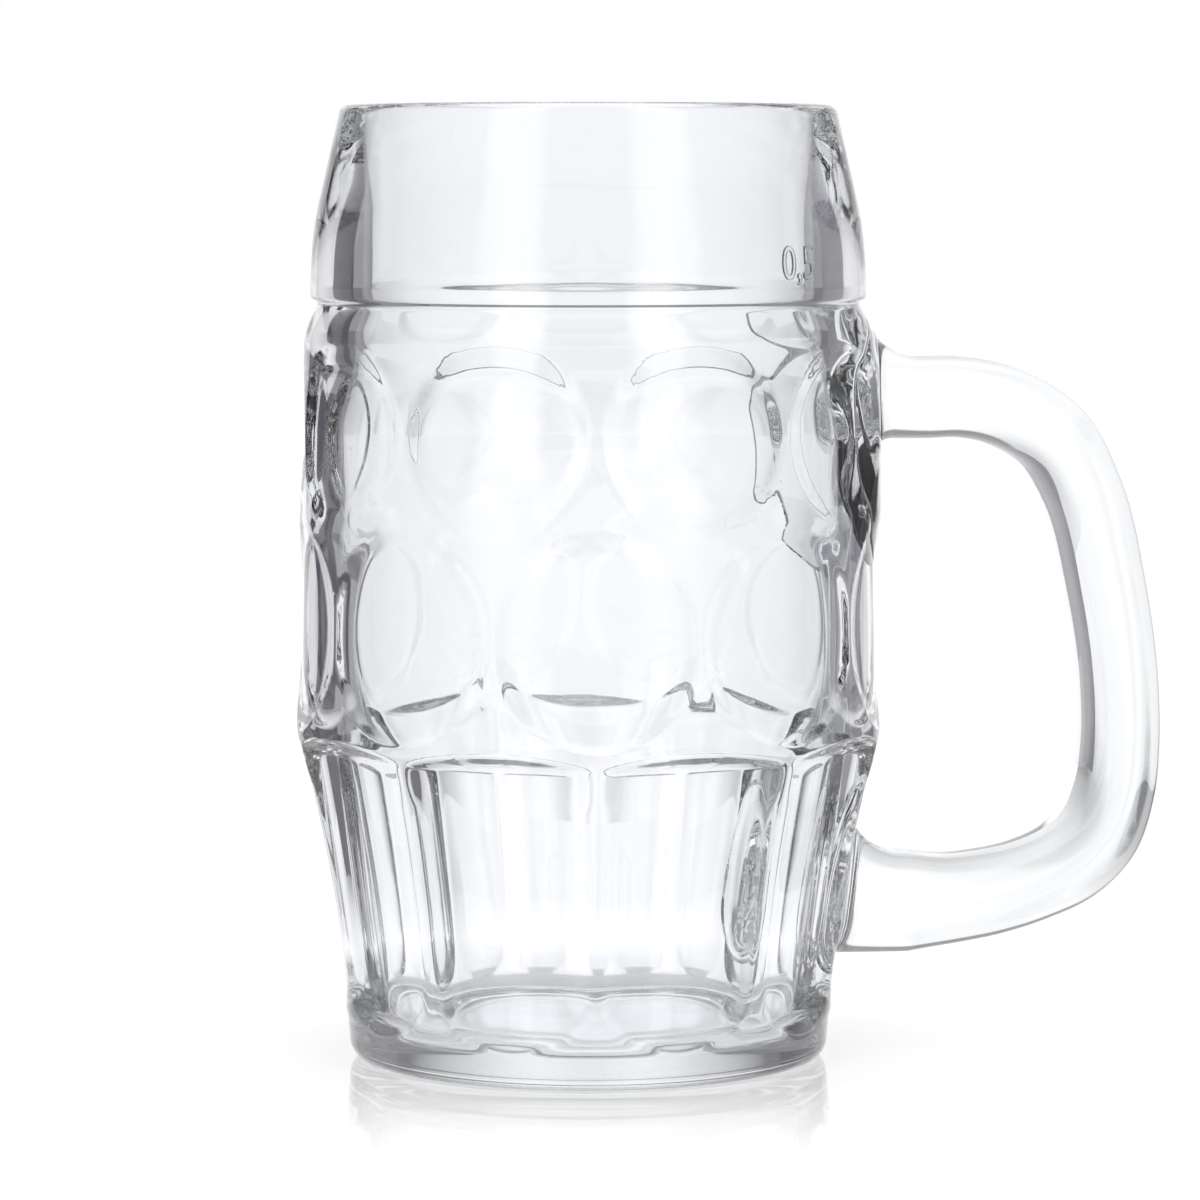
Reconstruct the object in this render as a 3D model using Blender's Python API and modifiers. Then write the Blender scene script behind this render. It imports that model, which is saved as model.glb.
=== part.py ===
"""Half-litre glass beer mug: a pressed and blown body with two staggered rows of shallow
round dimples above a skirt of flutes, and a solid D handle that is fused on at two roots.
Metres, +Z up. The mug's axis is Z, its foot stands on Z = 0 and the handle points along +X."""

import math

import bmesh
import bpy
from mathutils import Vector
from mathutils.geometry import interpolate_bezier

# Heights of the body's zones, stacked from the table upwards.
BASE_RING_HEIGHT = 0.0110
RIB_HEIGHT = 0.0333
LEDGE_HEIGHT = 0.0087
LOWER_DIMPLE_HEIGHT = 0.0340
UPPER_DIMPLE_HEIGHT = 0.0280
SHOULDER_HEIGHT = 0.0064
GROOVE_HEIGHT = 0.0010
BAND_HEIGHT = 0.0111
COLLAR_HEIGHT = 0.0195

# Outside radii of the turned form.
BASE_RADIUS = 0.0395
RIB_TOP_RADIUS = 0.0450
BELLY_RADIUS = 0.0470
SHOULDER_RADIUS = 0.0457
GROOVE_RADIUS = 0.0437
BAND_RADIUS = 0.0446
KNEE_RADIUS = 0.0441
RIM_RADIUS = 0.0398

# Roundings of the turned form.
RIB_SAG = 0.0006
HEEL_ROUNDING = 0.0028
FLOOR_ROUNDING = 0.0060
LEDGE_CURVE = 1.5

# Glass thickness, measured inwards from the outside form.
RIM_WALL = 0.0035
BODY_WALL = 0.0056
BASE_WALL = 0.0048
FLOOR_THICKNESS = 0.0060
NECK_SHOULDER_HEIGHT = 0.0250
NECK_SHOULDER_RISE = 0.0021

# The pressed pattern: one flute and one dimple of each row per pitch.
PATTERN_COUNT = 9
DIMPLE_DEPTH = 0.0008
UPPER_DIMPLE_RIDGE = 0.0022
LOWER_DIMPLE_RIDGE = 0.0006
RIB_WIDTH = 0.0048
FLUTE_END_ROUNDING = 0.0082
FLUTE_RUN_OUT = math.radians(75)
FLUTE_HEAD_RISE = 0.0020
FLUTE_FOOT_RISE = 0.0030

# The handle: two arms, two corners and a leaning grip, with fillets at its roots.
UPPER_ARM_DROP = 0.0156
LOWER_ARM_HEIGHT = 0.0237
HANDLE_REACH = 0.0953
GRIP_LEAN = 0.0050
GRIP_DROP = 0.0140
ARM_THICKNESS = 0.0142
GRIP_THICKNESS = 0.0116
HANDLE_DEPTH = 0.0170
UPPER_CORNER = 0.0200
LOWER_CORNER = 0.0190
OUTER_FILLET = 0.0062
HOLE_FILLET = 0.0070
SMALL_FILLET = 0.0016
SIDE_FILLET = 0.0030
SEAT_GAP = 0.0003

# How far the handle's curve runs on along its arms, and along its corners as shares of each corner.
ARM_RUN = 0.0060
UPPER_CORNER_ENTRY_SHARE = 0.50
UPPER_CORNER_LEAN_SHARE = 0.15
UPPER_CORNER_EXIT_SHARE = 0.60
LOWER_CORNER_EXIT_SHARE = 0.65
LOWER_CORNER_SAG_SHARE = 0.05

# Fineness of the round forms, and how far a cutter stands outside the glass.
TURNED_STEPS = 72
ARC_STEPS = 5
SHOULDER_SHARES = (0.45, 0.80)
LEDGE_SHARES = (0.0, 0.25, 0.50, 0.75)
DIMPLE_GRID = 8
DIMPLE_MARGIN = 1.2
SECTION_STEPS = 20
SECTION_SQUARENESS = 2.6
CUTTER_BACKING = 0.0080
MERGE_DISTANCE = 0.00001

# Levels, bores and the pitch that follow from the sizes above.
RIB_TOP = BASE_RING_HEIGHT + RIB_HEIGHT
BELLY_FOOT = RIB_TOP + LEDGE_HEIGHT
DIMPLE_SEAM = BELLY_FOOT + LOWER_DIMPLE_HEIGHT
SHOULDER = DIMPLE_SEAM + UPPER_DIMPLE_HEIGHT
GROOVE = SHOULDER + SHOULDER_HEIGHT
BAND_EDGE = GROOVE + GROOVE_HEIGHT
KNEE = BAND_EDGE + BAND_HEIGHT
RIM = KNEE + COLLAR_HEIGHT
BODY_BORE = SHOULDER_RADIUS - BODY_WALL
NECK_BORE = RIM_RADIUS - RIM_WALL
FLOOR_BORE = BASE_RADIUS - BASE_WALL
PITCH = math.tau / PATTERN_COUNT
FLUTE_HALF_ANGLE = PITCH / 2 - RIB_WIDTH / (2 * RIB_TOP_RADIUS)


def arc(centre, radius, start, end, steps=ARC_STEPS):
    """Points of an arc in the profile plane, angles in degrees from +X."""
    points = []
    for step in range(steps + 1):
        angle = math.radians(start + (end - start) * step / steps)
        points.append((centre[0] + radius * math.cos(angle), centre[1] + radius * math.sin(angle)))
    return points


def rib_radius(height):
    """Outside radius along the ribs: a straight taper that sags a little at its middle."""
    share = (height - BASE_RING_HEIGHT) / RIB_HEIGHT
    taper = BASE_RADIUS + (RIB_TOP_RADIUS - BASE_RADIUS) * share
    return taper - 4 * RIB_SAG * share * (1 - share)


def belly_radius(height):
    """Outside radius of the belly before the dimples are pressed into it."""
    share = (height - BELLY_FOOT) / (SHOULDER - BELLY_FOOT)
    return BELLY_RADIUS + (SHOULDER_RADIUS - BELLY_RADIUS) * share


def end_lift(beyond):
    """How far a flute's rounded end has risen out of the flute's flat, this far past it."""
    return FLUTE_END_ROUNDING - math.sqrt(FLUTE_END_ROUNDING ** 2 - beyond ** 2)


def inside_profile():
    """The hollow from the middle of the floor up to the rim's rounding."""
    points = [(0, FLOOR_THICKNESS)]
    points += arc((FLOOR_BORE - FLOOR_ROUNDING, FLOOR_THICKNESS + FLOOR_ROUNDING), FLOOR_ROUNDING, -90, 0)
    points.append((BODY_BORE, BELLY_FOOT))
    shoulder_foot = BAND_EDGE + NECK_SHOULDER_RISE - NECK_SHOULDER_HEIGHT
    for step in range(ARC_STEPS + 2):
        share = step / (ARC_STEPS + 1)
        ease = share * share * (3 - 2 * share)
        points.append((BODY_BORE + (NECK_BORE - BODY_BORE) * ease,
                       shoulder_foot + NECK_SHOULDER_HEIGHT * share))
    return points


def rim_profile():
    """The fire-polished rim, a half circle across the wall."""
    return arc((RIM_RADIUS - RIM_WALL / 2, RIM - RIM_WALL / 2), RIM_WALL / 2, 180, 0, ARC_STEPS + 1)


def outside_profile():
    """The outside from the collar's knee down to the flat underside's middle."""
    points = [(KNEE_RADIUS, KNEE), (BAND_RADIUS, BAND_EDGE), (GROOVE_RADIUS, GROOVE)]
    for share in SHOULDER_SHARES:
        swell = math.sin(share * math.pi / 2)
        points.append((GROOVE_RADIUS + (SHOULDER_RADIUS - GROOVE_RADIUS) * swell,
                       GROOVE - SHOULDER_HEIGHT * share))
    points.append((SHOULDER_RADIUS, SHOULDER))
    points.append((belly_radius(DIMPLE_SEAM), DIMPLE_SEAM))
    for share in LEDGE_SHARES:
        points.append((BELLY_RADIUS - (BELLY_RADIUS - RIB_TOP_RADIUS) * share ** LEDGE_CURVE,
                       BELLY_FOOT - LEDGE_HEIGHT * share))
    for step in range(ARC_STEPS + 1):
        height = RIB_TOP - RIB_HEIGHT * step / ARC_STEPS
        points.append((rib_radius(height), height))
    points += arc((BASE_RADIUS - HEEL_ROUNDING, HEEL_ROUNDING), HEEL_ROUNDING, 0, -90)
    points.append((0, 0))
    return points


def turned(name, points, collection):
    """A profile turned round Z. The profile runs down its outer side."""
    mesh = bpy.data.meshes.new(name)
    edges = [(index, index + 1) for index in range(len(points) - 1)]
    mesh.from_pydata([(x, 0, z) for x, z in points], edges, [])
    item = bpy.data.objects.new(name, mesh)
    collection.objects.link(item)
    screw = item.modifiers.new("Turn", "SCREW")
    screw.axis = "Z"
    screw.steps = TURNED_STEPS
    screw.render_steps = TURNED_STEPS
    screw.use_merge_vertices = True
    screw.merge_threshold = MERGE_DISTANCE
    return item


def lofted(name, rings, collection):
    """A closed solid through rings of points, capped at both ends."""
    shape = bmesh.new()
    loops = [[shape.verts.new(point) for point in ring] for ring in rings]
    for lower, upper in zip(loops, loops[1:]):
        for index in range(len(lower)):
            after = (index + 1) % len(lower)
            shape.faces.new((lower[index], lower[after], upper[after], upper[index]))
    shape.faces.new(loops[0])
    shape.faces.new(loops[-1])
    bmesh.ops.recalc_face_normals(shape, faces=shape.faces)
    mesh = bpy.data.meshes.new(name)
    shape.to_mesh(mesh)
    shape.free()
    item = bpy.data.objects.new(name, mesh)
    collection.objects.link(item)
    return item


def dimple_cutter(name, angle, foot, height, ridge):
    """A tool whose face presses a shallow oval dimple into the belly. The face is the belly's own
    surface, sunk by the dimple's depth at the oval's middle and not at all on its edge."""
    middle = foot + height / 2
    half_width = belly_radius(middle) * math.sin(PITCH / 2) - ridge / 2
    back = belly_radius(middle) + CUTTER_BACKING
    rings = []
    for row in range(DIMPLE_GRID + 1):
        up = DIMPLE_MARGIN * (2 * row / DIMPLE_GRID - 1)
        level = middle + up * height / 2
        face = []
        for column in range(DIMPLE_GRID + 1):
            across = DIMPLE_MARGIN * (2 * column / DIMPLE_GRID - 1)
            side = across * half_width
            surface = math.sqrt(belly_radius(level) ** 2 - side ** 2)
            face.append(Vector((surface - DIMPLE_DEPTH * (1 - across ** 2 - up ** 2), side, level)))
        backing = [Vector((back, face[-1].y, level)), Vector((back, face[0].y, level))]
        rings.append(face + backing)
    cutter = lofted(name, rings, cutters)
    cutter.rotation_euler.z = angle
    return cutter


def flute_cutter(name, angle, offset=0.0):
    """A tool for one flat flute, whose rounded ends run out into the ledge and the base ring.
    The offset moves its face outwards."""
    flatness = math.cos(FLUTE_HALF_ANGLE)
    foot = BASE_RING_HEIGHT + FLUTE_FOOT_RISE
    head = RIB_TOP + FLUTE_HEAD_RISE
    run_out = FLUTE_END_ROUNDING * math.sin(FLUTE_RUN_OUT)
    stations = []
    for step in range(ARC_STEPS, 0, -1):
        beyond = run_out * step / ARC_STEPS
        stations.append((rib_radius(foot) * flatness + end_lift(beyond), foot - beyond))
    for step in range(ARC_STEPS + 1):
        height = foot + (head - foot) * step / ARC_STEPS
        stations.append((rib_radius(height) * flatness, height))
    for step in range(1, ARC_STEPS + 1):
        beyond = run_out * step / ARC_STEPS
        stations.append((rib_radius(head + beyond) * flatness + end_lift(beyond), head + beyond))
    side = BELLY_RADIUS * math.tan(PITCH / 2)
    back = BELLY_RADIUS + FLUTE_END_ROUNDING + CUTTER_BACKING
    rings = []
    for face, height in stations:
        rings.append([Vector((face + offset, -side, height)), Vector((back, -side, height)),
                      Vector((back, side, height)), Vector((face + offset, side, height))])
    cutter = lofted(name, rings, cutters)
    cutter.rotation_euler.z = angle
    return cutter


def cut(item, cutter):
    """Take the cutter's solid out of the item."""
    boolean = item.modifiers.new("Cut " + cutter.name, "BOOLEAN")
    boolean.operation = "DIFFERENCE"
    boolean.solver = "EXACT"
    boolean.object = cutter


def fillet(size, clear):
    """How much a root has widened at this distance from the wall that it meets."""
    closeness = min(max(size - clear, 0.0), size)
    return size - math.sqrt(size ** 2 - closeness ** 2)


def handle_stations():
    """Points along the handle's centre line in the XZ plane, with the thickness at each,
    from inside the upper wall round the grip to inside the lower wall."""
    upper = GROOVE - UPPER_ARM_DROP
    lower = LOWER_ARM_HEIGHT
    grip = HANDLE_REACH - GRIP_THICKNESS / 2
    inside = FLOOR_BORE
    upper_bend = Vector((-UPPER_CORNER_LEAN_SHARE * UPPER_CORNER, 0, UPPER_CORNER_EXIT_SHARE * UPPER_CORNER))
    lower_bend = Vector((LOWER_CORNER_EXIT_SHARE * LOWER_CORNER, 0, LOWER_CORNER_SAG_SHARE * LOWER_CORNER))
    # Each knot: its place, the way back along the curve into it, and the thickness there.
    knots = [
        (Vector((inside, 0, upper)), Vector((-ARM_RUN, 0, 0)), ARM_THICKNESS),
        (Vector((grip - GRIP_LEAN - UPPER_CORNER, 0, upper)),
         Vector((-UPPER_CORNER_ENTRY_SHARE * UPPER_CORNER, 0, 0)), ARM_THICKNESS),
        (Vector((grip - GRIP_LEAN, 0, upper - UPPER_CORNER)), upper_bend, GRIP_THICKNESS),
        (Vector((grip, 0, (upper + lower) / 2 - GRIP_DROP)), Vector((0, 0, LOWER_CORNER)), GRIP_THICKNESS),
        (Vector((grip - LOWER_CORNER, 0, lower)), lower_bend, ARM_THICKNESS),
        (Vector((inside, 0, lower)), Vector((ARM_RUN, 0, 0)), ARM_THICKNESS),
    ]
    stations = []
    for (start, start_back, thick), (end, end_back, thick_end) in zip(knots, knots[1:]):
        steps = 2 * ARC_STEPS
        curve = interpolate_bezier(start, start - start_back, end + end_back, end, steps)
        for step, point in enumerate(curve):
            share = step / (steps - 1)
            ease = share * share * (3 - 2 * share)
            if step or not stations:
                stations.append((point, thick + (thick_end - thick) * ease))
    return stations


def handle_rings():
    """The handle's rounded sections, square to its centre line and widened at the two roots."""
    stations = handle_stations()
    upper_wall = belly_radius(GROOVE - UPPER_ARM_DROP)
    lower_wall = rib_radius(LOWER_ARM_HEIGHT) * math.cos(FLUTE_HALF_ANGLE)
    grip_middle = (GROOVE - UPPER_ARM_DROP + LOWER_ARM_HEIGHT) / 2
    rings = []
    for index, (point, thickness) in enumerate(stations):
        before = stations[max(index - 1, 0)][0]
        after = stations[min(index + 1, len(stations) - 1)][0]
        along = (after - before).normalized()
        outward = Vector((-along.z, 0, along.x))
        at_top = point.z > grip_middle
        clear = point.x - (upper_wall if at_top else lower_wall)
        out_half = thickness / 2 + fillet(OUTER_FILLET if at_top else SMALL_FILLET, clear)
        hole_half = thickness / 2 + fillet(SMALL_FILLET if at_top else HOLE_FILLET, clear)
        depth_half = HANDLE_DEPTH / 2 + fillet(SIDE_FILLET, clear)
        ring = []
        for step in range(SECTION_STEPS):
            angle = math.tau * step / SECTION_STEPS
            cosine, sine = math.cos(angle), math.sin(angle)
            rise = math.copysign(abs(cosine) ** (2 / SECTION_SQUARENESS), cosine)
            side = math.copysign(abs(sine) ** (2 / SECTION_SQUARENESS), sine)
            half = out_half if cosine > 0 else hole_half
            ring.append(point + outward * (half * rise) + Vector((0, depth_half * side, 0)))
        rings.append(ring)
    return rings


def clear_glass(name, colour):
    """Clear soda-lime glass with a fire-polished skin."""
    material = bpy.data.materials.new(name)
    material.use_nodes = True
    shader = material.node_tree.nodes["Principled BSDF"]
    shader.inputs["Base Color"].default_value = colour
    shader.inputs["Metallic"].default_value = 0.0
    shader.inputs["Roughness"].default_value = 0.02
    shader.inputs["IOR"].default_value = 1.52
    shader.inputs["Transmission Weight"].default_value = 1.0
    return material


for old in list(bpy.data.objects):
    bpy.data.objects.remove(old)
mug = bpy.data.collections.new("beer_mug")
cutters = bpy.data.collections.new("cutters")
for collection in (mug, cutters):
    bpy.context.scene.collection.children.link(collection)

# The body: turned first, then pressed with the pattern. The handle takes one upper dimple's place.
body = turned("glass_body", inside_profile() + rim_profile() + outside_profile(), mug)
for index in range(PATTERN_COUNT):
    column = index * PITCH
    cut(body, flute_cutter("flute_%d" % index, column))
    cut(body, dimple_cutter("lower_dimple_%d" % index, column + PITCH / 2, BELLY_FOOT,
                            LOWER_DIMPLE_HEIGHT, LOWER_DIMPLE_RIDGE))
    if index:
        cut(body, dimple_cutter("upper_dimple_%d" % index, column, DIMPLE_SEAM,
                                UPPER_DIMPLE_HEIGHT, UPPER_DIMPLE_RIDGE))
body.data.materials.append(clear_glass("body glass", (0.93, 0.95, 0.96, 1.0)))

# The handle: lofted along its route, then trimmed to sit on the body with the seat's gap.
handle = lofted("handle", handle_rings(), mug)
seat_profile = [(x + SEAT_GAP, z) for x, z in outside_profile()[:-1]]
seat = turned("handle_seat", [(0, KNEE)] + seat_profile + [(0, 0)], cutters)
cut(seat, flute_cutter("seat_flute", 0.0, SEAT_GAP))
cut(handle, seat)
handle.data.materials.append(clear_glass("handle glass", (0.94, 0.95, 0.96, 1.0)))

for tool in cutters.objects:
    tool.hide_render = True
    tool.display_type = "WIRE"
for item in (body, handle):
    item.data.shade_smooth()
    item.data.set_sharp_from_angle(angle=math.radians(30))
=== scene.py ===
"""Looks of a half-litre pressed glass beer mug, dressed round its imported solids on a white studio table."""

import math

import bpy
import numpy as np
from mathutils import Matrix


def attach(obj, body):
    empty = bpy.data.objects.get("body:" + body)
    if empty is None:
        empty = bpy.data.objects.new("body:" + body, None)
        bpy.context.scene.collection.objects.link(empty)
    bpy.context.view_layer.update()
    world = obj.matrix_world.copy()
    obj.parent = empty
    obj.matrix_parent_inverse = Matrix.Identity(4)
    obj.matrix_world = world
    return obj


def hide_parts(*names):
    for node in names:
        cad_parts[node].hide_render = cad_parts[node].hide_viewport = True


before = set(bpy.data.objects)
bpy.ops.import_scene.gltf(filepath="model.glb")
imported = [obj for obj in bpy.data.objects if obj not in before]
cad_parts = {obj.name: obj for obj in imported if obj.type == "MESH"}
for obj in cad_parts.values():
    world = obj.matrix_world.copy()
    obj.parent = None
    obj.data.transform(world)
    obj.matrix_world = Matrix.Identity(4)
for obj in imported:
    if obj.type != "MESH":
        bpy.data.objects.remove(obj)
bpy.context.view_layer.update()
bpy.context.scene.view_settings.view_transform = "Standard"


# Body
# One gather of soda-lime glass, pressed in a mould: a leaning collar over a small groove, a belly with
# two staggered rows of shallow round dimples, and a skirt of nine flat flutes on a plain round foot.
MM = 0.001
PITCH = math.radians(40)
TURNED_STEPS = 360
WELD = 0.01
RECESS, RECESS_RADIUS = 0.7, 31.5
REST_INNER_RADIUS, REST_OUTER_RADIUS = 34.5, 36.4
HEEL_WIDTH, HEEL_RISE = 2.3, 3.0
BASE_TOP, BASE_TOP_RADIUS = 6.0, 38.95
BEAD_TOP, BEAD_TOP_RADIUS = 8.4, 39.4
RIB_FOOT, RIB_TOP = 11.0, 44.3
RIB_FOOT_RADIUS, RIB_TOP_RADIUS, RIB_SAG = 39.5, 45.0, 0.6
LEDGE_STEPS, LEDGE_CURVE = 22, 1.5
LEDGE_END, LEDGE_END_RADIUS = 57.0, 46.95
BELLY_FOOT, BELLY_TOP = 53.0, 114.6
BELLY_RADIUS, BELLY_BULGE = 47.0, 0.15
SHOULDER_RADIUS, SHOULDER_STEPS = 45.6, 12
GROOVE, GROOVE_RADIUS, GROOVE_WIDTH = 121.2, 43.5, 0.4
BAND_EDGE, BAND_EDGE_RADIUS = GROOVE + 1.1, 44.5
BAND_FOOT, BAND_FOOT_RADIUS = GROOVE + 2.2, 44.6
BAND_LEAN, COLLAR_LEAN = 0.04, 0.228
BEND_FOOT, BEND_TOP = 126.5, 139.0
COLLAR_STEPS = 26
RIM, RIM_WALL = 153.0, 3.5
NECK_FOOT, NECK_END = 124.5, 99.5
NECK_BORE, BODY_BORE, FLOOR_BORE = 36.3, 40.2, 35.2
SKIRT_BULGE = 0.3
FLOOR, FLOOR_ROUNDING, FLOOR_RISE = 4.4, 9.0, 4.6


def straight(line, radius, height, steps, bulge=0.0):
    """Carries a profile on to a radius and a height in mm, bowed outwards by the bulge."""
    start_radius, start_height = line[-1]
    for step in range(1, steps + 1):
        share = step / steps
        bow = 4 * bulge * share * (1 - share)
        line.append((start_radius + (radius - start_radius) * share + bow,
                     start_height + (height - start_height) * share))


def eased(line, radius, height, steps):
    """Carries a profile on to a radius and a height in mm along a soft S."""
    start_radius, start_height = line[-1]
    for step in range(1, steps + 1):
        share = step / steps
        ease = share * share * (3 - 2 * share)
        line.append((start_radius + (radius - start_radius) * ease,
                     start_height + (height - start_height) * share))


def rounded(line, across, along, start, end, steps):
    """Carries a profile on round part of an oval, given by its two half axes in mm and two angles."""
    start_radius, start_height = line[-1]
    start_angle = math.radians(start)
    centre_radius = start_radius - across * math.cos(start_angle)
    centre_height = start_height - along * math.sin(start_angle)
    for step in range(1, steps + 1):
        angle = math.radians(start + (end - start) * step / steps)
        line.append((centre_radius + across * math.cos(angle), centre_height + along * math.sin(angle)))


def rib_radius(height):
    """Outside radius along the ribs between the flutes: a taper that sags a little."""
    share = (height - RIB_FOOT) / (RIB_TOP - RIB_FOOT)
    return RIB_FOOT_RADIUS + (RIB_TOP_RADIUS - RIB_FOOT_RADIUS) * share - 4 * RIB_SAG * share * (1 - share)


# The outside, from the middle of the underside up to the rim.
outside = [(0.0, RECESS)]
straight(outside, RECESS_RADIUS, RECESS, steps=3)
eased(outside, REST_INNER_RADIUS, 0.0, steps=4)
straight(outside, REST_OUTER_RADIUS, 0.0, steps=2)
underside_points = len(outside) - 1
rounded(outside, HEEL_WIDTH, HEEL_RISE, -90, 0, steps=9)
straight(outside, BASE_TOP_RADIUS, BASE_TOP, steps=3)
eased(outside, BEAD_TOP_RADIUS, BEAD_TOP, steps=4)
straight(outside, RIB_FOOT_RADIUS, RIB_FOOT, steps=4)
straight(outside, RIB_TOP_RADIUS, RIB_TOP, steps=18, bulge=-RIB_SAG)
for step in range(1, LEDGE_STEPS + 1):
    drop = 1 - step / LEDGE_STEPS
    outside.append((BELLY_RADIUS - (BELLY_RADIUS - RIB_TOP_RADIUS) * drop ** LEDGE_CURVE,
                    BELLY_FOOT - (BELLY_FOOT - RIB_TOP) * drop))
straight(outside, LEDGE_END_RADIUS, LEDGE_END, steps=12)
straight(outside, SHOULDER_RADIUS, BELLY_TOP, steps=46, bulge=BELLY_BULGE)
for step in range(1, SHOULDER_STEPS + 1):
    share = step / SHOULDER_STEPS
    outside.append((GROOVE_RADIUS + (SHOULDER_RADIUS - GROOVE_RADIUS) * math.cos(share * math.pi / 2),
                    BELLY_TOP + (GROOVE - BELLY_TOP) * share))
straight(outside, GROOVE_RADIUS, GROOVE + GROOVE_WIDTH, steps=2)
eased(outside, BAND_EDGE_RADIUS, BAND_EDGE, steps=3)
straight(outside, BAND_FOOT_RADIUS, BAND_FOOT, steps=3)
collar_top = RIM - RIM_WALL / 2
collar_rise = (collar_top - BAND_FOOT) / COLLAR_STEPS
lean_total = 0.0
for step in range(1, COLLAR_STEPS + 1):
    height = BAND_FOOT + collar_rise * step
    bend = min(max((height - collar_rise / 2 - BEND_FOOT) / (BEND_TOP - BEND_FOOT), 0), 1)
    lean_total += (BAND_LEAN + (COLLAR_LEAN - BAND_LEAN) * bend * bend * (3 - 2 * bend)) * collar_rise
    outside.append((BAND_FOOT_RADIUS - lean_total, height))

# The inside, over the rim and down to the middle of the floor.
inside = [outside[-1]]
rounded(inside, RIM_WALL / 2, RIM_WALL / 2, 0, 180, steps=14)
straight(inside, NECK_BORE, NECK_FOOT, steps=12)
eased(inside, BODY_BORE, NECK_END, steps=20)
straight(inside, BODY_BORE, BELLY_FOOT, steps=8)
straight(inside, FLOOR_BORE, FLOOR + FLOOR_RISE, steps=9, bulge=SKIRT_BULGE)
rounded(inside, FLOOR_ROUNDING, FLOOR_RISE, 0, -90, steps=14)
straight(inside, 0.0, FLOOR, steps=4)

bpy.ops.object.select_all(action="DESELECT")
bpy.ops.mesh.primitive_plane_add(size=MM, location=(0, 0, RECESS * MM))
body = bpy.context.object
body.name = body.data.name = "mug_body"
bpy.ops.object.transform_apply(location=True)
bpy.ops.object.mode_set(mode="EDIT")
bpy.ops.mesh.select_all(action="SELECT")
bpy.ops.mesh.merge(type="CENTER")
profile = outside + inside[1:]
for (radius, height), (next_radius, next_height) in zip(profile, profile[1:]):
    move = ((next_radius - radius) * MM, 0, (next_height - height) * MM)
    bpy.ops.mesh.extrude_region_move(TRANSFORM_OT_translate={"value": move})
bpy.ops.mesh.select_all(action="SELECT")
bpy.ops.mesh.spin(steps=TURNED_STEPS, angle=math.tau, center=(0, 0, 0), axis=(0, 0, 1))
bpy.ops.mesh.select_all(action="SELECT")
bpy.ops.mesh.remove_doubles(threshold=WELD * MM)
bpy.ops.mesh.normals_make_consistent(inside=False)
bpy.ops.object.mode_set(mode="OBJECT")

# The pressed pattern, cut into the turned outside.
RIB_WIDTH, RIB_ROUNDING, PANEL_HOLLOW = 2.6, 0.25, 0.6
FLUTE_FOOT, FOOT_CURVE = 15.0, 0.030
FLUTE_HEAD, HEAD_SLOPE, HEAD_ROUNDING = 51.0, 1.25, 0.35
FLUTES_END = BELLY_FOOT + 6
DIMPLE_DEPTH, DIMPLE_ROUNDING, DIMPLE_FLATNESS = 0.75, 0.02, 9.0
DIMPLE_FOOT, DIMPLE_SEAM, DIMPLE_TOP = BELLY_FOOT + 0.5, 87.2, BELLY_TOP + 1
LOWER_RIDGE, UPPER_RIDGE = 0.4, 2.2
DIMPLED_FOOT, DIMPLED_TOP = BELLY_FOOT - 3, GROOVE - 1
outside_radii, outside_heights = np.array(outside[underside_points:]).T
inside_radii, inside_heights = np.array(inside[::-1]).T


def turned_radius(height):
    """Outside radius of the mug above its underside, before the pattern is pressed."""
    return np.interp(height, outside_heights, outside_radii)


def dimples(angle, height, foot, top, ridge):
    """Depth in mm of one row of round dimples, one per pitch, centred on angle 0."""
    column = (angle + PITCH / 2) % PITCH - PITCH / 2
    middle = (foot + top) / 2
    half_width = turned_radius(middle) * math.sin(PITCH / 2) - ridge / 2
    across = turned_radius(height) * np.sin(column) / half_width
    up = (height - middle) / ((top - foot) / 2)
    depth = DIMPLE_DEPTH * (1 - (across ** 2 + up ** 2) ** (DIMPLE_FLATNESS / 2))
    return (depth + np.sqrt(depth ** 2 + DIMPLE_ROUNDING ** 2)) / 2


def pressed_radius(angle, height):
    """Outside radius of the pressed mug in mm, at an angle from the handle and a height."""
    lower = dimples(angle + PITCH / 2, height, DIMPLE_FOOT, DIMPLE_SEAM, LOWER_RIDGE)
    upper = dimples(angle, height, DIMPLE_SEAM, DIMPLE_TOP, UPPER_RIDGE)
    upper = upper * (np.abs((angle + math.pi) % math.tau - math.pi) > PITCH / 2)
    on_belly = (height > DIMPLED_FOOT) & (height < DIMPLED_TOP)
    belly = turned_radius(height) - np.where(on_belly, np.maximum(lower, upper), 0)
    column = (angle + PITCH / 2) % PITCH - PITCH / 2
    half_angle = PITCH / 2 - RIB_WIDTH / (2 * RIB_TOP_RADIUS)
    hollow = PANEL_HOLLOW * (1 - (column / half_angle) ** 2)
    panel = rib_radius(height) * math.cos(half_angle) / np.cos(column) - hollow
    lift = FOOT_CURVE * np.maximum(FLUTE_FOOT - height, 0) ** 2
    beyond = height - FLUTE_HEAD
    lift += HEAD_SLOPE * (beyond + np.sqrt(beyond ** 2 + HEAD_ROUNDING ** 2)) / 2
    flute = panel + lift
    cut = (belly + flute - np.sqrt((belly - flute) ** 2 + RIB_ROUNDING ** 2)) / 2
    return np.where((height > HEEL_RISE) & (height < FLUTES_END), cut, belly)


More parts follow.
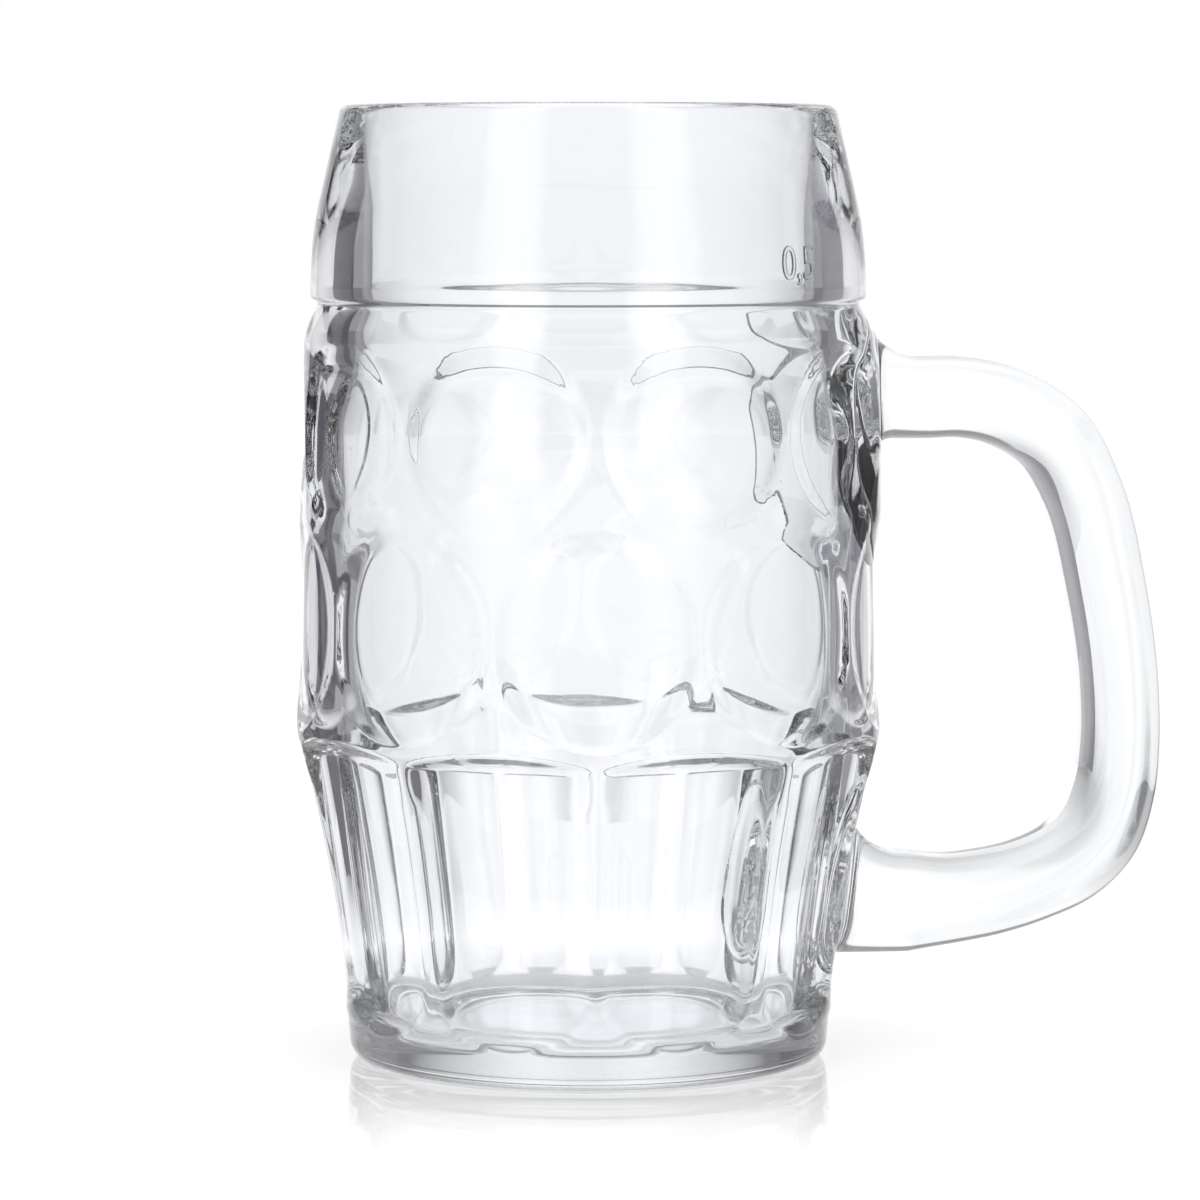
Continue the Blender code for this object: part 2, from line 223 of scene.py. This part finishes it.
points = np.empty(len(body.data.vertices) * 3)
body.data.vertices.foreach_get("co", points)
points = points.reshape(-1, 3) / MM
angles = np.arctan2(points[:, 1], points[:, 0])
radii = np.hypot(points[:, 0], points[:, 1])
wall_middle = (np.interp(points[:, 2], inside_heights, inside_radii) + turned_radius(points[:, 2])) / 2
outer = (radii > wall_middle) & (points[:, 2] > HEEL_RISE) & (points[:, 2] < collar_top - WELD)
scale = np.where(outer, pressed_radius(angles, points[:, 2]) / np.maximum(radii, WELD), 1)
points[:, 0] *= scale
points[:, 1] *= scale
body.data.vertices.foreach_set("co", (points * MM).ravel())
body.data.update()
bpy.ops.object.shade_smooth()


def hexed(code):
    """An sRGB hex colour as a linear one."""
    shades = [int(code[place:place + 2], 16) / 255 for place in (1, 3, 5)]
    return [c / 12.92 if c <= 0.04045 else ((c + 0.055) / 1.055) ** 2.4 for c in shades] + [1]


def add(tree, kind, settings=None, **links):
    """Adds a node, sets its properties and sockets, and links its inputs to other nodes' outputs.

    A link is named for its socket, or by the letter i and the socket's number.
    """
    node = tree.nodes.new(kind)
    for name, value in (settings or {}).items():
        if hasattr(node, str(name)):
            setattr(node, name, value)
        else:
            node.inputs[name].default_value = value
    for name, output in links.items():
        key = int(name[1:]) if name[0] == "i" and name[1:].isdigit() else name
        tree.links.new(output, node.inputs[key])
    return node


def ranged(tree, value, start, end, at_start=0.0, at_end=1.0):
    """A value that runs from start to end, carried over to another range and held at its ends."""
    return add(tree, "ShaderNodeMapRange", {1: start, 2: end, 3: at_start, 4: at_end}, i0=value).outputs[0]


# Pressed soda-lime glass, fire-polished: a bright skin over a grey that deepens with thickness, with the
# mould's slow ripple, a few small seeds of trapped air, and a heel scuffed dull by tables.
GLASS_WHITE, GLASS_GREY, GREY_DENSITY, GLASS_INDEX = "#FCFDFF", "#8C9298", 3.0, 1.52
RIPPLE_LENGTH, RIPPLE_DEPTH, RIPPLE_LOW, RIPPLE_HIGH = 11.0, 0.03, 0.3, 0.7
SEED_SPACING, SEED_RADIUS, SEED_DEPTH, SEEDLESS_SHARE = 13.0, 0.30, 0.12, 0.6
FINEST_POLISH, POOREST_POLISH = 0.012, 0.03
SCUFF_LENGTH, SCUFF_ROUGHNESS, SCUFFED_BELOW, CLEAR_ABOVE = 0.9, 0.25, 0.2, 1.6
FUSED_ABOVE = 0.004
body_glass = bpy.data.materials.new("pressed soda-lime glass")
body_glass.use_nodes = True
tree = body_glass.node_tree
glass_shader = tree.nodes["Principled BSDF"]
glass_shader.inputs["Base Color"].default_value = hexed(GLASS_WHITE)
glass_shader.inputs["IOR"].default_value = GLASS_INDEX
glass_shader.inputs["Transmission Weight"].default_value = 1.0
place = add(tree, "ShaderNodeTexCoord").outputs["Object"]
ripple = add(tree, "ShaderNodeTexNoise", {"Scale": 1 / (RIPPLE_LENGTH * MM), "Detail": 1.0}, Vector=place)
seeds = add(tree, "ShaderNodeTexVoronoi", {"Scale": 1 / (SEED_SPACING * MM)}, Vector=place)
seed_kind = add(tree, "ShaderNodeSeparateColor", {}, Color=seeds.outputs["Color"])
seed_chosen = add(tree, "ShaderNodeMath", {"operation": "GREATER_THAN", 1: SEEDLESS_SHARE},
                  i0=seed_kind.outputs[0])
seed_dome = ranged(tree, seeds.outputs["Distance"], 0.0, SEED_RADIUS / SEED_SPACING, 1.0, 0.0)
seed = add(tree, "ShaderNodeMath", {"operation": "MULTIPLY"}, i0=seed_chosen.outputs[0], i1=seed_dome)
rippled = add(tree, "ShaderNodeBump", {"Strength": 1.0, "Distance": RIPPLE_DEPTH * MM},
              Height=ripple.outputs["Fac"])
seeded = add(tree, "ShaderNodeBump", {"Strength": 1.0, "Distance": SEED_DEPTH * MM},
             Height=seed.outputs[0], Normal=rippled.outputs[0])
tree.links.new(seeded.outputs[0], glass_shader.inputs["Normal"])
polish = ranged(tree, ripple.outputs["Fac"], RIPPLE_LOW, RIPPLE_HIGH, FINEST_POLISH, POOREST_POLISH)
scuffs = add(tree, "ShaderNodeTexNoise", {"Scale": 1 / (SCUFF_LENGTH * MM), "Detail": 3.0}, Vector=place)
upright = add(tree, "ShaderNodeSeparateXYZ", {}, i0=place)
at_heel = ranged(tree, upright.outputs[2], SCUFFED_BELOW * MM, CLEAR_ABOVE * MM, SCUFF_ROUGHNESS, 0.0)
dulled = add(tree, "ShaderNodeMath", {"operation": "MULTIPLY_ADD"}, i0=scuffs.outputs["Fac"], i1=at_heel,
             i2=polish)
tree.links.new(dulled.outputs[0], glass_shader.inputs["Roughness"])
depth_grey = add(tree, "ShaderNodeVolumeAbsorption", {"Color": hexed(GLASS_GREY), "Density": GREY_DENSITY})
tree.links.new(depth_grey.outputs[0], tree.nodes["Material Output"].inputs["Volume"])
# Fused glass has no skin between its two pieces, so it is left out where the handle joins the body.
fused_mark = add(tree, "ShaderNodeAttribute", {"attribute_name": "handle_root"})
skin_shown = add(tree, "ShaderNodeMath", {"operation": "LESS_THAN", 1: FUSED_ABOVE},
                 i0=fused_mark.outputs["Fac"])
tree.links.new(skin_shown.outputs[0], glass_shader.inputs["Alpha"])
body.data.materials.append(body_glass)
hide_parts("glass_body")
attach(body, "root")


# Handle
# A solid D of the same glass, formed by itself and fused hot to the body at two flared roots: a level
# upper arm, a grip that leans outwards and a lower arm that rises to meet it.
HANDLE_DEPTH = 17.0
ARM_THICKNESS, GRIP_THICKNESS, LOWER_THICKNESS = 13.8, 11.6, 16.6
SECTION_STEPS, SECTION_SQUARENESS = 64, 3.2
CAP_STEPS, PAD_STEPS, ROOT_STEPS, KNOT_STEPS = 14, 12, 32, 12
PAD_THICKNESS, PAD_SQUARENESS = 1.0, 2.4
JOINT_GAP, FINE_WELD = 0.02, 0.005
WALL_PASSES = 3
# Each root: its middle's height, its length and thickness, how far it widens at the top, at the foot and
# to the sides, over what reach from the wall, and how far a thin pad spreads beyond that.
UPPER_ROOT = dict(height=106.0, length=10.0, thickness=ARM_THICKNESS, top=7.5, top_reach=8.0,
                  foot=4.0, foot_reach=4.0, beside=2.5, side_reach=2.5, pad_foot=17.0, pad_side=14.5)
LOWER_ROOT = dict(height=23.4, length=14.0, thickness=LOWER_THICKNESS, top=15.0, top_reach=14.0,
                  foot=3.0, foot_reach=2.6, beside=8.0, side_reach=5.0, pad_foot=0.0, pad_side=0.0)


def wall(side, height):
    """How far out the body's outside stands, at a distance to the side of the handle's plane."""
    reach = turned_radius(height)
    for turn in range(WALL_PASSES):
        angle = np.arcsin(np.clip(side / reach, -1, 1))
        reach = pressed_radius(angle, height)
    return np.sqrt(reach ** 2 - side ** 2)


def section(half_depth, half_top, half_foot, squareness):
    """The handle's rounded section: how far its points lie to the side and upwards, in mm."""
    turn = np.arange(SECTION_STEPS) / SECTION_STEPS * math.tau
    side = np.sign(np.sin(turn)) * np.abs(np.sin(turn)) ** (2 / squareness)
    rise = np.sign(np.cos(turn)) * np.abs(np.cos(turn)) ** (2 / squareness)
    return side * half_depth, rise * np.where(rise > 0, half_top, half_foot)


def flare(size, reach, clear):
    """How much a root has widened at a clear distance from the wall: a hollow quarter oval."""
    closeness = np.clip(1 - clear / reach, 0, 1)
    return size * (1 - np.sqrt(1 - closeness ** 2))


def root_rings(height, length, thickness, top, top_reach, foot, foot_reach, beside, side_reach,
               pad_foot, pad_side):
    """Rings from the middle of a root's joint out to the plain arm, on the body's own surface first."""
    rings = []
    middle_wall = wall(np.zeros(1), np.full(1, height))
    for step in range(1, CAP_STEPS + PAD_STEPS + ROOT_STEPS + 1):
        size = min(step / CAP_STEPS, 1)
        turn = math.pi / 2 * min(max(step - CAP_STEPS, 0) / PAD_STEPS, 1)
        beyond = max(step - CAP_STEPS - PAD_STEPS, 0) / ROOT_STEPS
        clear = PAD_THICKNESS * math.sin(turn) + (length - PAD_THICKNESS) * beyond ** 2
        spread = math.cos(turn)
        share = clear / length
        ease = share * share * (3 - 2 * share)
        side, rise = section(HANDLE_DEPTH / 2 + flare(beside, side_reach, clear) + pad_side * spread,
                             thickness / 2 + flare(top, top_reach, clear),
                             thickness / 2 + flare(foot, foot_reach, clear) + pad_foot * spread,
                             PAD_SQUARENESS + (SECTION_SQUARENESS - PAD_SQUARENESS) * ease)
        side, rise = side * size, rise * size
        own_wall = wall(side, height + rise)
        reach = own_wall + (middle_wall - own_wall) * ease + clear + JOINT_GAP
        rings.append(np.stack([reach, side, height + rise], 1))
    return rings


upper_rings = root_rings(**UPPER_ROOT)
lower_rings = root_rings(**LOWER_ROOT)
upper_end, lower_end = upper_rings[-1][:, 0].mean(), lower_rings[-1][:, 0].mean()
# Knots of the centre line: reach, height and thickness in mm.
route = np.array([
    (upper_end, UPPER_ROOT["height"], ARM_THICKNESS), (60.5, 106.0, 13.6), (68.0, 104.6, 13.5),
    (77.4, 99.0, 13.0), (82.3, 90.8, 12.3), (86.65, 75.0, 11.9), (89.2, 57.5, GRIP_THICKNESS),
    (89.35, 49.0, 11.7), (88.4, 41.0, 12.2), (85.2, 33.2, 13.0), (80.6, 29.0, 13.2), (74.0, 26.1, 13.2),
    (66.0, 24.2, 13.9), (60.0, 23.5, 14.5), (lower_end, LOWER_ROOT["height"], LOWER_THICKNESS)])
before = np.vstack([route[0] * 2 - route[1], route[:-1]])
after = np.vstack([route[1:], route[-1] * 2 - route[-2]])
lengths = np.linalg.norm(np.diff(route[:, :2], axis=0), axis=1)
span_before = np.concatenate([lengths[:1], lengths])[:, None]
span_after = np.concatenate([lengths, lengths[-1:]])[:, None]
slope_before = (route - before) / span_before
slope_after = (after - route) / span_after
tangents = (slope_before * span_after + slope_after * span_before) / (span_before + span_after)
centres = []
for index, length in enumerate(lengths):
    for step in range(KNOT_STEPS):
        t = step / KNOT_STEPS
        start = (2 * t ** 3 - 3 * t ** 2 + 1) * route[index]
        leaving = (t ** 3 - 2 * t ** 2 + t) * length * tangents[index]
        end = (3 * t ** 2 - 2 * t ** 3) * route[index + 1]
        arriving = (t ** 3 - t ** 2) * length * tangents[index + 1]
        centres.append(start + leaving + end + arriving)
centres.append(route[-1])
centres = np.array(centres)
along = np.gradient(centres[:, :2], axis=0)
along /= np.linalg.norm(along, axis=1)[:, None]
rings = upper_rings[:-1]
for (reach, height, thickness), (run, climb) in zip(centres, along):
    side, rise = section(HANDLE_DEPTH / 2, thickness / 2, thickness / 2, SECTION_SQUARENESS)
    rings.append(np.stack([reach - climb * rise, side, height + run * rise], 1))
turned_over = (SECTION_STEPS // 2 - np.arange(SECTION_STEPS)) % SECTION_STEPS
rings += [ring[turned_over] for ring in lower_rings[-2::-1]]

bpy.ops.object.select_all(action="DESELECT")
bpy.ops.mesh.primitive_grid_add(x_subdivisions=SECTION_STEPS, y_subdivisions=len(rings) - 1, size=MM)
handle = bpy.context.object
handle.name = handle.data.name = "mug_handle"
handle.data.materials.append(body_glass)
wrapped = np.stack([np.vstack([ring, ring[:1]]) for ring in rings]).reshape(-1, 3)
handle.data.vertices.foreach_set("co", (wrapped * MM).ravel())
strip = np.arange(len(handle.data.polygons)) // SECTION_STEPS
in_joint = np.minimum(strip, len(rings) - 2 - strip) < CAP_STEPS - 1
joint_mark = handle.data.attributes.new("handle_root", "FLOAT", "FACE")
joint_mark.data.foreach_set("value", in_joint.astype(np.float32))
handle.data.update()
bpy.ops.object.mode_set(mode="EDIT")
bpy.ops.mesh.select_all(action="SELECT")
bpy.ops.mesh.remove_doubles(threshold=FINE_WELD * MM)
bpy.ops.mesh.select_all(action="DESELECT")
bpy.ops.mesh.select_mode(type="EDGE")
bpy.ops.mesh.select_non_manifold()
bpy.ops.mesh.edge_face_add()
bpy.ops.mesh.select_all(action="SELECT")
bpy.ops.mesh.normals_make_consistent(inside=False)
bpy.ops.object.mode_set(mode="OBJECT")
bpy.ops.object.shade_smooth()
# The two small faces that close the ends lie in the joints too: the only ones with more than four sides.
joint_mark = handle.data.attributes["handle_root"]
for polygon in handle.data.polygons:
    if polygon.loop_total > 4:
        joint_mark.data[polygon.index].value = 1


def root_share(side, height, root):
    """Above 0 inside a root's outline on the body, and below 0 outside it."""
    rise = height - root["height"]
    half_rise = root["thickness"] / 2 + np.where(rise > 0, root["top"], root["foot"] + root["pad_foot"])
    half_side = HANDLE_DEPTH / 2 + root["beside"] + root["pad_side"]
    square = (np.abs(side) / half_side) ** PAD_SQUARENESS + (np.abs(rise) / half_rise) ** PAD_SQUARENESS
    return 1 - square ** (1 / PAD_SQUARENESS)


fused = np.maximum(root_share(points[:, 1], points[:, 2], UPPER_ROOT),
                   root_share(points[:, 1], points[:, 2], LOWER_ROOT))
fused = np.where(outer & (points[:, 0] > 0), fused, -1)
root_mark = body.data.attributes.new("handle_root", "FLOAT", "POINT")
root_mark.data.foreach_set("value", fused.astype(np.float32))
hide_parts("handle")
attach(handle, "root")


# Capacity number
# Plain figures that the mould left standing a little proud of the collar's band, in the body's own glass
# and bent round it, with edges softened by the fire polish.
FIGURE_SIZE, FIGURE_WIDTH, FIGURE_RISE = 7.4, 0.86, 0.16
FIGURE_EDGE, FIGURE_EDGE_STEPS = 0.07, 2
FIGURES_ANGLE, FIGURES_HEIGHT = math.radians(-54.5), 128.0
bpy.ops.object.select_all(action="DESELECT")
bpy.ops.object.text_add()
figures = bpy.context.object
figures.data.body = "0,5"
figures.data.align_x = figures.data.align_y = "CENTER"
figures.data.size = FIGURE_SIZE * MM
figures.data.extrude = FIGURE_RISE * MM
figures.data.bevel_depth = FIGURE_EDGE * MM
figures.data.bevel_resolution = FIGURE_EDGE_STEPS
bpy.ops.object.convert(target="MESH")
figures = bpy.context.object
figures.name = figures.data.name = "capacity_number"
flat = np.empty(len(figures.data.vertices) * 3)
figures.data.vertices.foreach_get("co", flat)
flat = flat.reshape(-1, 3) / MM
heights = FIGURES_HEIGHT + flat[:, 1]
reaches = turned_radius(heights) + flat[:, 2]
turns = FIGURES_ANGLE + flat[:, 0] * FIGURE_WIDTH / turned_radius(heights)
bent = np.stack([reaches * np.cos(turns), reaches * np.sin(turns), heights], 1)
figures.data.vertices.foreach_set("co", (bent * MM).ravel())
figures.data.update()
bpy.ops.object.mode_set(mode="EDIT")
bpy.ops.mesh.select_all(action="SELECT")
bpy.ops.mesh.remove_doubles(threshold=FINE_WELD * MM)
bpy.ops.mesh.normals_make_consistent(inside=False)
bpy.ops.object.mode_set(mode="OBJECT")
figures.data.materials.clear()
figures.data.materials.append(body_glass)
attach(figures, "root")


# Table
# A wide white table that mirrors the foot of the mug softly and keeps its shadow. Right under the mug it
# glows brighter: painted light for the light that comes down through the glass's foot. Further off it
# glows with painted light that the glass sees, white straight behind the mug and darker to its sides,
# which draws the glass's edges; to the camera it is white there.
VIEW_ANGLE = math.radians(78.3)
TABLE_RADIUS, TABLE_SIDES, TABLE_DROP = 12.0, 96, 0.2
TABLE_WHITE, TABLE_POLISH = "#E7E7E7", 0.03
NEAR_END, FAR_START = 60.0, 260.0
SHINE, SHINE_START, SHINE_END = 0.55, 40.0, 118.0
UNDER_MUG, BESIDE_MUG, UNDER_MUG_PAINTED_LIGHT, TABLE_GLOW = 34.0, 39.0, 1.05, 0.76
# Pairs of degrees from straight behind the mug and a level of light, where 1 is white.
TABLE_PAINTED_RING = ((0, 1.02), (2, 1.02), (4, 1.07), (9, 1.07), (13, 1.04), (24, 1.0), (33, 0.7), (42, 0.35),
              (115, 0.35), (140, 1.0), (180, 1.0))


def ringed(tree, direction, levels):
    """Light that changes round the studio, by pairs of degrees from straight behind the mug and a level."""
    turned = add(tree, "ShaderNodeVectorRotate", {"rotation_type": "Z_AXIS", "Angle": -VIEW_ANGLE},
                 Vector=direction)
    parts = add(tree, "ShaderNodeSeparateXYZ", {}, i0=turned.outputs[0])
    around = add(tree, "ShaderNodeMath", {"operation": "ARCTAN2"}, i0=parts.outputs[1], i1=parts.outputs[0])
    sideways = add(tree, "ShaderNodeMath", {"operation": "ABSOLUTE"}, i0=around.outputs[0])
    share = add(tree, "ShaderNodeMath", {"operation": "DIVIDE", 1: math.pi}, i0=sideways.outputs[0])
    ramp = add(tree, "ShaderNodeValToRGB", {}, i0=share.outputs[0])
    for stop, (degrees, level) in zip(ramp.color_ramp.elements, (levels[0], levels[-1])):
        stop.position = degrees / 180
        stop.color = (level, level, level, 1)
    for degrees, level in levels[1:-1]:
        ramp.color_ramp.elements.new(degrees / 180).color = (level, level, level, 1)
    return ramp.outputs[0]


bpy.ops.mesh.primitive_circle_add(vertices=TABLE_SIDES, radius=TABLE_RADIUS, fill_type="NGON",
                                  location=(0, 0, -TABLE_DROP * MM))
table = bpy.context.object
table.name = "floor"
# Polished white acrylic: a pale sheet that glows a little, as a lit table does, under a clear shine.
# Under the mug's foot the glow is stronger, as painted light.
white_acrylic = bpy.data.materials.new("polished white acrylic")
white_acrylic.use_nodes = True
tree = white_acrylic.node_tree
tree.nodes.remove(tree.nodes["Principled BSDF"])
spot = add(tree, "ShaderNodeTexCoord").outputs["Object"]
away = add(tree, "ShaderNodeVectorMath", {"operation": "LENGTH"}, i0=spot).outputs["Value"]
near = ranged(tree, away, NEAR_END * MM, FAR_START * MM, 1.0, 0.0)
shine = ranged(tree, away, SHINE_START * MM, SHINE_END * MM, SHINE, 0.0)
# Painted light: the glow is stronger under the mug's foot than beside it.
table_glow_and_painted_pool = ranged(tree, away, UNDER_MUG * MM, BESIDE_MUG * MM, UNDER_MUG_PAINTED_LIGHT, TABLE_GLOW)
matt = add(tree, "ShaderNodeBsdfDiffuse", {"Color": hexed(TABLE_WHITE)})
glow = add(tree, "ShaderNodeEmission", {}, Strength=table_glow_and_painted_pool)
lit = add(tree, "ShaderNodeAddShader", {}, i0=matt.outputs[0], i1=glow.outputs[0])
gloss = add(tree, "ShaderNodeBsdfGlossy", {"Roughness": TABLE_POLISH})
polished = add(tree, "ShaderNodeMixShader", {}, i0=shine, i1=lit.outputs[0], i2=gloss.outputs[0])
path = add(tree, "ShaderNodeLightPath")
# Painted light far off: a glow round the table, white behind the mug and darker to its sides, for the glass
# only.
far_level = add(tree, "ShaderNodeMath", {"operation": "MAXIMUM"}, i0=ringed(tree, spot, TABLE_PAINTED_RING),
                i1=path.outputs["Is Camera Ray"])
far_light = add(tree, "ShaderNodeEmission", {}, Strength=far_level.outputs[0])
mixed = add(tree, "ShaderNodeMixShader", {}, i0=near, i1=far_light.outputs[0], i2=polished.outputs[0])
tree.links.new(mixed.outputs[0], tree.nodes["Material Output"].inputs[0])
table.data.materials.append(white_acrylic)


# Cards
# A tall card behind the mug at each side, seen only through the glass and in it, that draws the long
# stripes at its edges with painted shade, a dim grey glow: a mid grey on the handle's side and a deeper one
# on the other.
CARD_ANGLE, CARD_REACH, CARD_MIDDLE = math.radians(46), 290.0, 200.0
CARD_WIDTH, CARD_HEIGHT = 105.0, 400.0
MID_GREY, DEEP_GREY = "#8B8A91", "#5A585F"
for side, shade in ((-1, MID_GREY), (1, DEEP_GREY)):
    # Grey card that glows evenly at its grey, without shine: painted shade for the dark sides of the studio,
    # and it casts no shadow.
    card_glow = bpy.data.materials.new("grey card")
    card_glow.use_nodes = True
    tree = card_glow.node_tree
    tree.nodes.remove(tree.nodes["Principled BSDF"])
    # Painted shade: the card glows at its own grey, lit by nothing.
    dim = add(tree, "ShaderNodeEmission", {"Color": hexed(shade)})
    tree.links.new(dim.outputs[0], tree.nodes["Material Output"].inputs[0])
    angle = VIEW_ANGLE + side * CARD_ANGLE
    spot = (CARD_REACH * MM * math.cos(angle), CARD_REACH * MM * math.sin(angle), CARD_MIDDLE * MM)
    bpy.ops.mesh.primitive_plane_add(size=1, location=spot, rotation=(math.pi / 2, 0, angle - math.pi / 2))
    card = bpy.context.object
    card.name = "card"
    card.scale = (CARD_WIDTH * MM, CARD_HEIGHT * MM, 1)
    card.visible_camera = False
    card.visible_diffuse = False
    card.visible_shadow = False
    card.data.materials.append(card_glow)


# Studio
# A white room for the camera. The glass sees its lamps: a soft ring of light that is white straight
# behind the mug, two soft boxes in front, a dark header above them and a white roof.
SOFT_BOXES = ((131, 0.25), (136, 1.5), (157, 1.5), (162, 0.15), (180, 0.15))
LOW_RING = ((0, 1.04), (2, 1.04), (4, 1.09), (8, 1.09), (12, 1.03), (18, 0.88), (26, 0.66), (33, 0.4),
            (37, 0.2), (100, 0.2)) + SOFT_BOXES
HEADER_RING = ((0, 0.25), (70, 0.25), (90, 0.2)) + SOFT_BOXES
# Heights in the room, as the sine of the angle above the table's level.
FADE_END, LEVEL_SHARE, FADED_SHARE = 0.22, 1.02, 0.96
HEADER_START, HEADER_FULL = 0.43, 0.49
ROOF_START, ROOF_FULL = 0.80, 0.88
ROOM_WHITE = "#FFFFFF"
world = bpy.data.worlds.new("studio")
bpy.context.scene.world = world
world.use_nodes = True
tree = world.node_tree
direction = add(tree, "ShaderNodeTexCoord").outputs["Generated"]
upwards = add(tree, "ShaderNodeSeparateXYZ", {}, i0=direction).outputs[2]
fading = ranged(tree, upwards, 0.0, FADE_END, LEVEL_SHARE, FADED_SHARE)
low = add(tree, "ShaderNodeVectorMath", {"operation": "SCALE"}, i0=ringed(tree, direction, LOW_RING),
          Scale=fading)
walls = add(tree, "ShaderNodeMix", {"data_type": "RGBA"}, i6=low.outputs[0],
            i0=ranged(tree, upwards, HEADER_START, HEADER_FULL), i7=ringed(tree, direction, HEADER_RING))
roofed = add(tree, "ShaderNodeMix", {"data_type": "RGBA", 7: hexed(ROOM_WHITE)}, i6=walls.outputs[2],
             i0=ranged(tree, upwards, ROOF_START, ROOF_FULL))
path = add(tree, "ShaderNodeLightPath")
seen = add(tree, "ShaderNodeMix", {"data_type": "RGBA", 7: hexed(ROOM_WHITE)}, i6=roofed.outputs[2],
           i0=path.outputs["Is Camera Ray"])
tree.links.new(seen.outputs[2], tree.nodes["Background"].inputs[0])
# Light crosses many skins of clear glass before it leaves the mug.
ALL_BOUNCES, GLASS_BOUNCES = 20, 16
bpy.context.scene.cycles.max_bounces = ALL_BOUNCES
bpy.context.scene.cycles.glossy_bounces = GLASS_BOUNCES
bpy.context.scene.cycles.transmission_bounces = GLASS_BOUNCES


# Camera
# A long lens a little under the rim's height, 0.84 m from the mug's axis.
CAMERA_PLACE = (-0.1693, -0.8177, 0.1427)
CAMERA_TILT, CAMERA_TURN = math.radians(85.264), math.radians(-11.827)
CAMERA_LENS, CAMERA_SENSOR = 155.9, 36
bpy.ops.object.camera_add(location=CAMERA_PLACE, rotation=(CAMERA_TILT, 0, CAMERA_TURN))
camera = bpy.context.object
camera.data.lens = CAMERA_LENS
camera.data.sensor_width = CAMERA_SENSOR
bpy.context.scene.camera = camera
